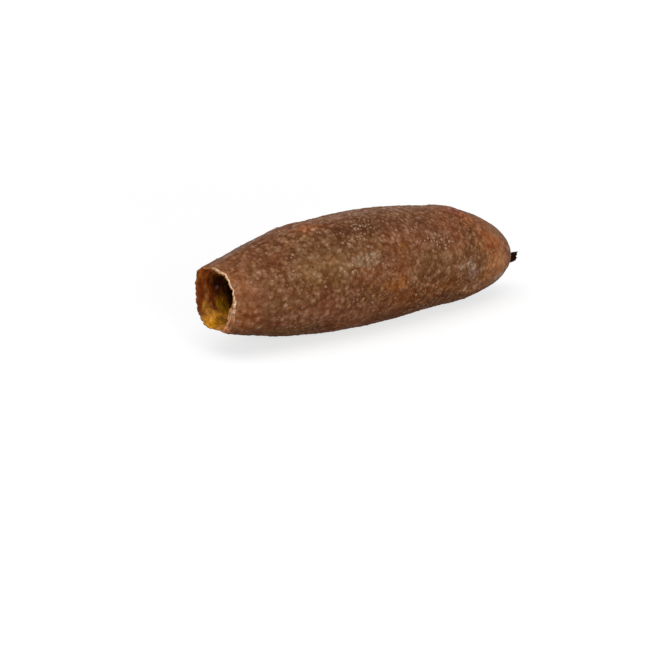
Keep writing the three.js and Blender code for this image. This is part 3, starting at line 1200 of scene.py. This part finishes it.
def lining_tree():
    """Lays torn strands round the inside of the mouth, following the wall."""
    tree, given = geometry_tree(
        "Lining fibres",
        {
            "Spacing": "Float",
            "Crowding": "Float",
            "Deepest": "Float",
            "Shortest": "Float",
            "Longest": "Float",
            "Thickness": "Float",
            "Seed": "Int",
            "Fibre": "Material",
        },
    )
    spot = add(tree, "GeometryNodeInputPosition")
    zone = add(tree, "GeometryNodeInputNamedAttribute", {"Name": "zone"}, data_type="FLOAT")
    across = add(tree, "ShaderNodeSeparateXYZ", {0: spot}).outputs["X"]
    inner = add(tree, MATH, {0: zone, 1: ALL_LINING}, operation="LESS_THAN")
    near = add(tree, MATH, {0: across, 1: given["Deepest"]}, operation="LESS_THAN")
    chosen = add(tree, MATH, {0: inner, 1: near}, operation="MULTIPLY")
    scattered = add(
        tree,
        "GeometryNodeDistributePointsOnFaces",
        {
            "Mesh": given["Geometry"],
            "Selection": chosen,
            "Distance Min": given["Spacing"],
            "Density Max": given["Crowding"],
            "Seed": given["Seed"],
        },
        distribute_method="POISSON",
    )

    # Each strand starts as a line of its own length, laid round the mouth with some stray.
    normal = scattered.outputs["Normal"]
    round_it = add(tree, VECTOR, {0: normal, 1: (1.0, 0.0, 0.0)}, operation="CROSS_PRODUCT")
    slant = {"Min": (-0.35, 0.0, 0.0), "Max": (0.35, 0.0, 0.0), "Seed": 2}
    stray = add(tree, "FunctionNodeRandomValue", slant, data_type="FLOAT_VECTOR")
    heading = add(tree, VECTOR, {0: round_it, 1: stray}, operation="ADD")
    lie = add(tree, "FunctionNodeAlignRotationToVector", {"Vector": heading}, axis="X")
    luck = add(tree, "FunctionNodeRandomValue", {"Min": 0.0, "Max": 1.0, "Seed": 5}, data_type="FLOAT")
    long = add(tree, RANGE, {"Value": luck, "To Min": given["Shortest"], "To Max": given["Longest"]})
    line = add(tree, "GeometryNodeCurvePrimitiveLine", {0: (-0.5, 0.0, 0.0), 1: (0.5, 0.0, 0.0)})
    laid = add(
        tree,
        "GeometryNodeInstanceOnPoints",
        {"Points": scattered.outputs["Points"], "Instance": line, "Rotation": lie, "Scale": long},
    )
    tone = add(tree, "FunctionNodeRandomValue", {"Min": 0.0, "Max": 1.0, "Seed": 7}, data_type="FLOAT")
    real = made_real(tree, laid, tone)
    tubes = strand_tubes(tree, given, real)

    # The strands take the wall's map, so that its stains run over them.
    wall_map = add(
        tree, "GeometryNodeInputNamedAttribute", {"Name": "pod_map"}, data_type="FLOAT_VECTOR"
    )
    below = add(
        tree,
        "GeometryNodeSampleNearestSurface",
        {"Mesh": given["Geometry"], "Value": wall_map},
        data_type="FLOAT_VECTOR",
    )
    mapped = add(
        tree,
        "GeometryNodeStoreNamedAttribute",
        {"Geometry": tubes, "Name": "pod_map", "Value": below},
        data_type="FLOAT_VECTOR",
        domain="POINT",
    )
    smooth = add(tree, "GeometryNodeSetShadeSmooth", {"Geometry": mapped})
    shape = add(tree, "GeometryNodeSetMaterial", {"Geometry": smooth, "Material": given["Fibre"]})
    add(tree, "NodeGroupOutput", {0: shape})
    return tree


def ripples(turn, table):
    """The sum of a table's ripples round the stub: (how many, start, height)."""
    return sum(height * math.sin(count * turn + start) for count, start, height in table)


def stalk_mesh(radius):
    """The dead stub: ribbed bark that flares on to the pod, and a jagged break with one spike."""
    rows, sides = 44, 72
    sunk, break_depth = 0.6 * MM, 0.5 * MM
    foot_flare, foot_length = 0.4, 0.16
    waist_depth, waist_shift = 0.12, 1.15
    taper_depth, taper_start = 0.15, 0.6
    break_start, spike_height, spike_turn, spike_width = 0.67, 0.07, 0.35, 0.3
    lean_side, lean_up = -0.14, 0.42
    root = Vector((STUB_LOW.x - sunk, 0, (REST_HEIGHT - DROOP) * MM))
    length = STUB_HIGH.x - root.x
    tilt = Matrix.Rotation(math.atan(STALK_SLOPE), 4, "Y")
    points, faces = [], []
    for row in range(rows + 1):
        way = row / rows
        flare = foot_flare * math.exp(-((way / foot_length) ** 2))
        waist = 1.0 - waist_depth * math.sin(math.pi * min(way * waist_shift, 1))
        taper = 1 - taper_depth * max(0, (way - taper_start) / (1 - taper_start)) ** 2
        for side in range(sides):
            turn = math.tau * side / sides
            ribs = ripples(turn, ((7, 2.5 * way, 0.06), (17, -3 * way, 0.035)))
            reach = radius * (waist + flare + ribs) * taper
            jags = ripples(turn, ((3, 1, 0.02), (8, 0, 0.02), (19, 0, 0.012)))
            spike = spike_height * math.exp(-(((turn - spike_turn) / spike_width) ** 2))
            far = way * (break_start + (jags + spike) * way**2)
            lean = far * far * length
            across = lean_side * lean - reach * math.sin(turn)
            up = lean_up * lean + reach * math.cos(turn)
            points.append(root + tilt @ Vector((far * length, across, up)))
    for row in range(rows):
        for side in range(sides):
            here, beside = row * sides + side, row * sides + (side + 1) % sides
            faces.append((here, beside, beside + sides, here + sides))

    # The break is hollowed towards one point, and the root, which the wall hides, closes on one.
    last = rows * sides
    points.append(sum(points[last:], Vector()) / sides - Vector((break_depth, 0, 0)))
    faces += [(last + side, last + (side + 1) % sides, len(points) - 1) for side in range(sides)]
    points.append(root)
    faces += [((side + 1) % sides, side, len(points) - 1) for side in range(sides)]
    mesh = bpy.data.meshes.new("stalk_bark")
    mesh.from_pydata(points, [], faces)
    mesh.shade_smooth()
    return mesh


# ---------------------------------------------------------------------------
# Sizes and colours that a user may change
# ---------------------------------------------------------------------------


class PodShape(bpy.types.PropertyGroup):
    """Sizes of the pod's own detail."""

    sides: IntProperty(name="Sides", description="Columns of the wall's mesh", default=270)
    tooth_pitch: size("Tooth Pitch", "Distance between the teeth of the broken lip", 1.1)
    tooth_depth: size("Tooth Depth", "Depth of the gaps between teeth", 0.55)
    chip_depth: size("Chip Depth", "Depth of the larger chips in the lip", 0.5)
    lip_swell: number("Lip Swell", "Share of the lip's swellings", 1.0)
    wart_width: size("Wart Width", "Distance between the skin's warts", 1.4)
    wart_height: size("Wart Height", "Height of the tallest warts", 0.16)
    wave_height: size("Wave Height", "Height of the skin's slow waves", 0.7)
    lining_relief: size("Lining Relief", "Height of the folds in the lining", 0.5)
    cork_spacing: size("Cork Spacing", "Least distance between cork scales", 0.8)
    cork_smallest: size("Cork Smallest", "Half width of the smallest cork scale", 0.28)
    cork_largest: size("Cork Largest", "Half width of the largest cork scale", 0.62)
    cork_thickness: size("Cork Thickness", "Height of a cork scale", 0.09)
    cork_crowding: number("Cork Crowding", "Most cork scales in a square millimetre", 1.6)
    splinter_shortest: size("Splinter Shortest", "Length of the shortest rim splinter", 0.2)
    splinter_longest: size("Splinter Longest", "Length of the longest rim splinter", 0.55)
    splinter_crowding: number("Splinter Crowding", "Rim splinters in a square millimetre of lip", 4.0)
    fibre_reach: size("Fibre Reach", "How far in from the mouth the loose strands go", 15)
    fibre_spacing: size("Fibre Spacing", "Least distance between loose strands", 1.1)
    fibre_crowding: number("Fibre Crowding", "Most loose strands in a square millimetre", 3.0)
    fibre_shortest: size("Fibre Shortest", "Length of the shortest loose strand", 0.7)
    fibre_longest: size("Fibre Longest", "Length of the longest loose strand", 2.6)
    fibre_thickness: size("Fibre Thickness", "Half width of a loose strand", 0.11)
    stalk_radius: size("Stalk Radius", "Radius of the dead stub", 1.6)
    seed: IntProperty(name="Seed", description="Seed of every random scatter", default=4)


class PodLook(bpy.types.PropertyGroup):
    """Colours and patterns of the pod's finishes."""

    mid: tint("Mid", "Weathered skin", "#895e40")
    dark: tint("Dark", "Darker mottling of the skin", "#724830")
    # Gap darkens the skin in the gaps between the warts and in pits, by Gap Darkness and Pit Darkness.
    gap: tint("Gap", "Dirt between the warts", "#4a260e")
    tan: tint("Tan", "Tops of the warts", "#96745c")
    cork: tint("Cork", "Ordinary cork", "#8a664e")
    pale: tint("Pale", "Palest cork", "#a88a70")
    olive: tint("Olive", "Greener patches of skin", "#7a5a30")
    red: tint("Red", "Redder patches of skin", "#8a4826")
    lip: tint("Lip", "Skin beside the broken lip", "#90603e")
    edge: tint("Edge", "Fresh broken wall", "#f6d6b2")
    edge_dark: tint("Edge Dark", "Older broken wall", "#c8946c")
    worn_lip: tint("Worn Lip", "Weathered outer half of the thick lip", "#a0603c")
    lining: tint("Lining", "Dry tissue inside the mouth", "#dc942a")
    lining_dark: tint("Lining Dark", "Rings in the lining", "#a25c14")
    # Painted shade deep in the chamber.
    lining_painted_shade: tint("Lining Deep", "Lining deep in the chamber", "#38150a")
    stalk: tint("Stalk", "Dead bark", "#0e0400")
    stalk_ridge: tint("Stalk Ridge", "Ridges of the dead bark", "#321404")
    # How dark the gaps between the warts and the pits go.
    gap_darkness: number("Gap Darkness", "Depth of dirt in gaps", 0.64)
    pit_darkness: number("Pit Darkness", "Depth of dirt in pits", 0.6)
    top_paleness: number("Top Paleness", "How pale the warts' tops go", 0.4)


class PodStage(bpy.types.PropertyGroup):
    """The camera, the light and the paper."""

    lens: number("Lens", "Focal length in millimetres", 96.755)
    azimuth: FloatProperty(
        name="Azimuth", description="Turn of the camera", default=math.radians(-40.24), subtype="ANGLE"
    )
    elevation: FloatProperty(
        name="Elevation", description="Camera above level", default=math.radians(16.57), subtype="ANGLE"
    )
    distance: size("Distance", "From the camera to the aim", 516.1)
    aim_along: size("Aim Along", "Aim point along the pod", -17.10)
    aim_height: size("Aim Height", "Height of the aim point", -1.36)
    paper: tint("Paper", "The paper near the pod, which its own glow lifts to white", "#aeaeae")
    paper_glow: number("Paper Glow", "The paper's own light", 0.67)
    paper_bounce: tint("Paper Bounce", "The light that the paper sends back", "#6a5c50")
    paper_near: size("Paper Near", "Where the paper starts to turn white", 90)
    paper_far: size("Paper Far", "Where the paper is white", 260)
    paper_reach: size("Paper Reach", "Half the paper's width", 4000)
    paper_drop: size("Paper Drop", "How far the paper lies under the pod", 0.02)
    overhead_watts: number("Overhead", "Power of the top softbox", 1.85)
    key_watts: number("Key", "Power of the front softbox", 6.0)
    ambient: number("Ambient", "Strength of the room's light", 0.41)


# ---------------------------------------------------------------------------
# Operators
# ---------------------------------------------------------------------------


def hand_over(piece):
    """Ties a finished piece to the frame, so that it moves with the body."""
    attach(piece, BODY)


def grow_on_wall(name, tree, values):
    """Makes a piece that a tree grows on the finished wall, and ties it to the frame."""
    wall = bpy.data.objects["pod_wall"].data.copy()
    hand_over(run_tree(name, tree, wall, values))


class POD_OT_wall(bpy.types.Operator):
    """Make the pod's wall: skin, broken lip and chamber lining"""

    bl_idname = "pod.make_wall"
    bl_label = "Make Pod Wall"

    def execute(self, context):
        shape, look = context.scene.pod_shape, context.scene.pod_look
        profile = wall_profile()
        wall = run_tree(
            "pod_wall",
            wall_tree(),
            profile,
            {
                "Sides": shape.sides,
                "Rows": len(profile.vertices),
                "Tooth Pitch": shape.tooth_pitch / MM,
                "Tooth Depth": shape.tooth_depth / MM,
                "Chip Depth": shape.chip_depth / MM,
                "Lip Swell": shape.lip_swell,
                "Wart Width": shape.wart_width / MM,
                "Wart Height": shape.wart_height / MM,
                "Wave Height": shape.wave_height / MM,
                "Lining Relief": shape.lining_relief / MM,
                "Skin": weathered_skin(look, shape.wart_width),
                "Broken Edge": broken_edge(look),
                "Lining": chamber_lining(look),
            },
        )
        hand_over(wall)
        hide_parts("pod_shell")
        return {"FINISHED"}


class POD_OT_cork(bpy.types.Operator):
    """Scatter the pale cork scales over the skin"""

    bl_idname = "pod.make_cork"
    bl_label = "Make Cork Scales"

    def execute(self, context):
        shape, look = context.scene.pod_shape, context.scene.pod_look
        grow_on_wall(
            "cork_scales",
            cork_tree(),
            {
                "Spacing": shape.cork_spacing,
                "Crowding": shape.cork_crowding / MM**2,
                "Smallest": shape.cork_smallest,
                "Largest": shape.cork_largest,
                "Thickness": shape.cork_thickness,
                "Seed": shape.seed,
                "Cork": cork_scale(look),
            },
        )
        return {"FINISHED"}


class POD_OT_splinters(bpy.types.Operator):
    """Stand splinters on the broken lip"""

    bl_idname = "pod.make_splinters"
    bl_label = "Make Rim Splinters"

    def execute(self, context):
        shape, look = context.scene.pod_shape, context.scene.pod_look
        grow_on_wall(
            "rim_splinters",
            splinter_tree(),
            {
                "Crowding": shape.splinter_crowding / MM**2,
                "Shortest": shape.splinter_shortest,
                "Longest": shape.splinter_longest,
                "Seed": shape.seed,
                "Fibre": torn_fibre(look),
            },
        )
        return {"FINISHED"}


class POD_OT_lining(bpy.types.Operator):
    """Lay loose strands round the inside of the mouth"""

    bl_idname = "pod.make_lining_fibres"
    bl_label = "Make Lining Fibres"

    def execute(self, context):
        shape, look = context.scene.pod_shape, context.scene.pod_look
        grow_on_wall(
            "lining_fibres",
            lining_tree(),
            {
                "Spacing": shape.fibre_spacing,
                "Crowding": shape.fibre_crowding / MM**2,
                "Deepest": SHELL_LOW.x + shape.fibre_reach,
                "Shortest": shape.fibre_shortest,
                "Longest": shape.fibre_longest,
                "Thickness": shape.fibre_thickness,
                "Seed": shape.seed,
                "Fibre": lining_fibre(look),
            },
        )
        return {"FINISHED"}


class POD_OT_stalk(bpy.types.Operator):
    """Make the dead stub of the stalk"""

    bl_idname = "pod.make_stalk"
    bl_label = "Make Stalk Stub"

    def execute(self, context):
        mesh = stalk_mesh(context.scene.pod_shape.stalk_radius)
        mesh.materials.append(dead_stalk(context.scene.pod_look))
        stub = bpy.data.objects.new("stalk_bark", mesh)
        context.scene.collection.objects.link(stub)
        hand_over(stub)
        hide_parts("stalk_stub")
        return {"FINISHED"}


def hang(name, data, aim, azimuth, elevation, away):
    """Hangs a lamp or a camera this far from a point, in this direction from it, looking at it."""
    level = math.cos(elevation)
    back = Vector((math.sin(azimuth) * level, -math.cos(azimuth) * level, math.sin(elevation)))
    holder = bpy.data.objects.new(name, data)
    holder.location = aim + away * back
    holder.rotation_euler = (-back).to_track_quat("-Z", "Y").to_euler()
    bpy.context.scene.collection.objects.link(holder)
    return holder


def softbox(name, width, watts, azimuth, elevation, away):
    """A square lamp that looks at the pod from this direction, in degrees."""
    lamp = bpy.data.lights.new(name, "AREA")
    lamp.shape = "SQUARE"
    lamp.size = width
    lamp.energy = watts
    centre = (CAD_BOX[0] + CAD_BOX[1]) / 2
    hang(name, lamp, centre, math.radians(azimuth), math.radians(elevation), away)


def lay_paper(stage):
    """The seamless paper, just under the pod."""
    reach, level = stage.paper_reach, -stage.paper_drop
    corners = [(-reach, -reach), (reach, -reach), (reach, reach), (-reach, reach)]
    mesh = bpy.data.meshes.new("paper")
    mesh.from_pydata([(x, y, level) for x, y in corners], [], [(0, 1, 2, 3)])
    mesh.materials.append(studio_paper(stage))
    paper = bpy.data.objects.new("paper", mesh)
    bpy.context.scene.collection.objects.link(paper)


def light_room(stage):
    """A white room, which looks brighter than the light that it gives."""
    world = bpy.data.worlds.new("room")
    world.use_nodes = True
    tree = world.node_tree
    tree.nodes.clear()
    direct = seen_directly(tree)
    strength = add(tree, RANGE, {"Value": direct, "To Min": stage.ambient, "To Max": 1.0})
    sky = add(tree, "ShaderNodeBackground", {"Color": (1, 1, 1, 1), "Strength": strength})
    add(tree, "ShaderNodeOutputWorld", {"Surface": sky})
    bpy.context.scene.world = world


def set_camera(stage):
    """The camera, aimed at the front half of the pod."""
    view = bpy.data.cameras.new("camera")
    view.lens = stage.lens
    view.sensor_width = 36
    view.clip_start, view.clip_end = 0.01, 20
    aim = Vector((stage.aim_along, 0, stage.aim_height))
    camera = hang("camera", view, aim, stage.azimuth, stage.elevation, stage.distance)
    bpy.context.scene.camera = camera


class POD_OT_stage(bpy.types.Operator):
    """Set up the paper, the lamps, the room's light and the camera"""

    bl_idname = "pod.make_stage"
    bl_label = "Make Stage"

    def execute(self, context):
        stage = context.scene.pod_stage
        lay_paper(stage)
        softbox("overhead_softbox", 0.7, stage.overhead_watts, azimuth=-60, elevation=72, away=0.6)
        softbox("key_softbox", 0.5, stage.key_watts, azimuth=-14, elevation=8, away=0.8)
        light_room(stage)
        set_camera(stage)
        context.scene.view_settings.view_transform = "Standard"
        return {"FINISHED"}


MAKERS = (
    POD_OT_wall,
    POD_OT_cork,
    POD_OT_splinters,
    POD_OT_lining,
    POD_OT_stalk,
    POD_OT_stage,
)


class POD_PT_panel(bpy.types.Panel):
    """Lists the pod's operators and settings"""

    bl_idname = "POD_PT_panel"
    bl_label = "Jequitiba Pod"
    bl_space_type = "VIEW_3D"
    bl_region_type = "UI"
    bl_category = "Pod"

    def draw(self, context):
        for maker in MAKERS:
            self.layout.operator(maker.bl_idname)
        for name in SETTINGS:
            group = getattr(context.scene, name)
            box = self.layout.box()
            for prop in group.bl_rna.properties:
                if prop.identifier not in ("rna_type", "name"):
                    box.prop(group, prop.identifier)


SETTINGS = {"pod_shape": PodShape, "pod_look": PodLook, "pod_stage": PodStage}
CLASSES = (*SETTINGS.values(), *MAKERS, POD_PT_panel)


def register():
    for cls in CLASSES:
        bpy.utils.register_class(cls)
    for name, group in SETTINGS.items():
        setattr(bpy.types.Scene, name, PointerProperty(type=group))


def unregister():
    for name in SETTINGS:
        delattr(bpy.types.Scene, name)
    for cls in reversed(CLASSES):
        bpy.utils.unregister_class(cls)


def main():
    """Builds every piece and the stage."""
    register()
    for maker in MAKERS:
        family, name = maker.bl_idname.split(".")
        getattr(getattr(bpy.ops, family), name)()


if __name__ == "__main__":
    main()
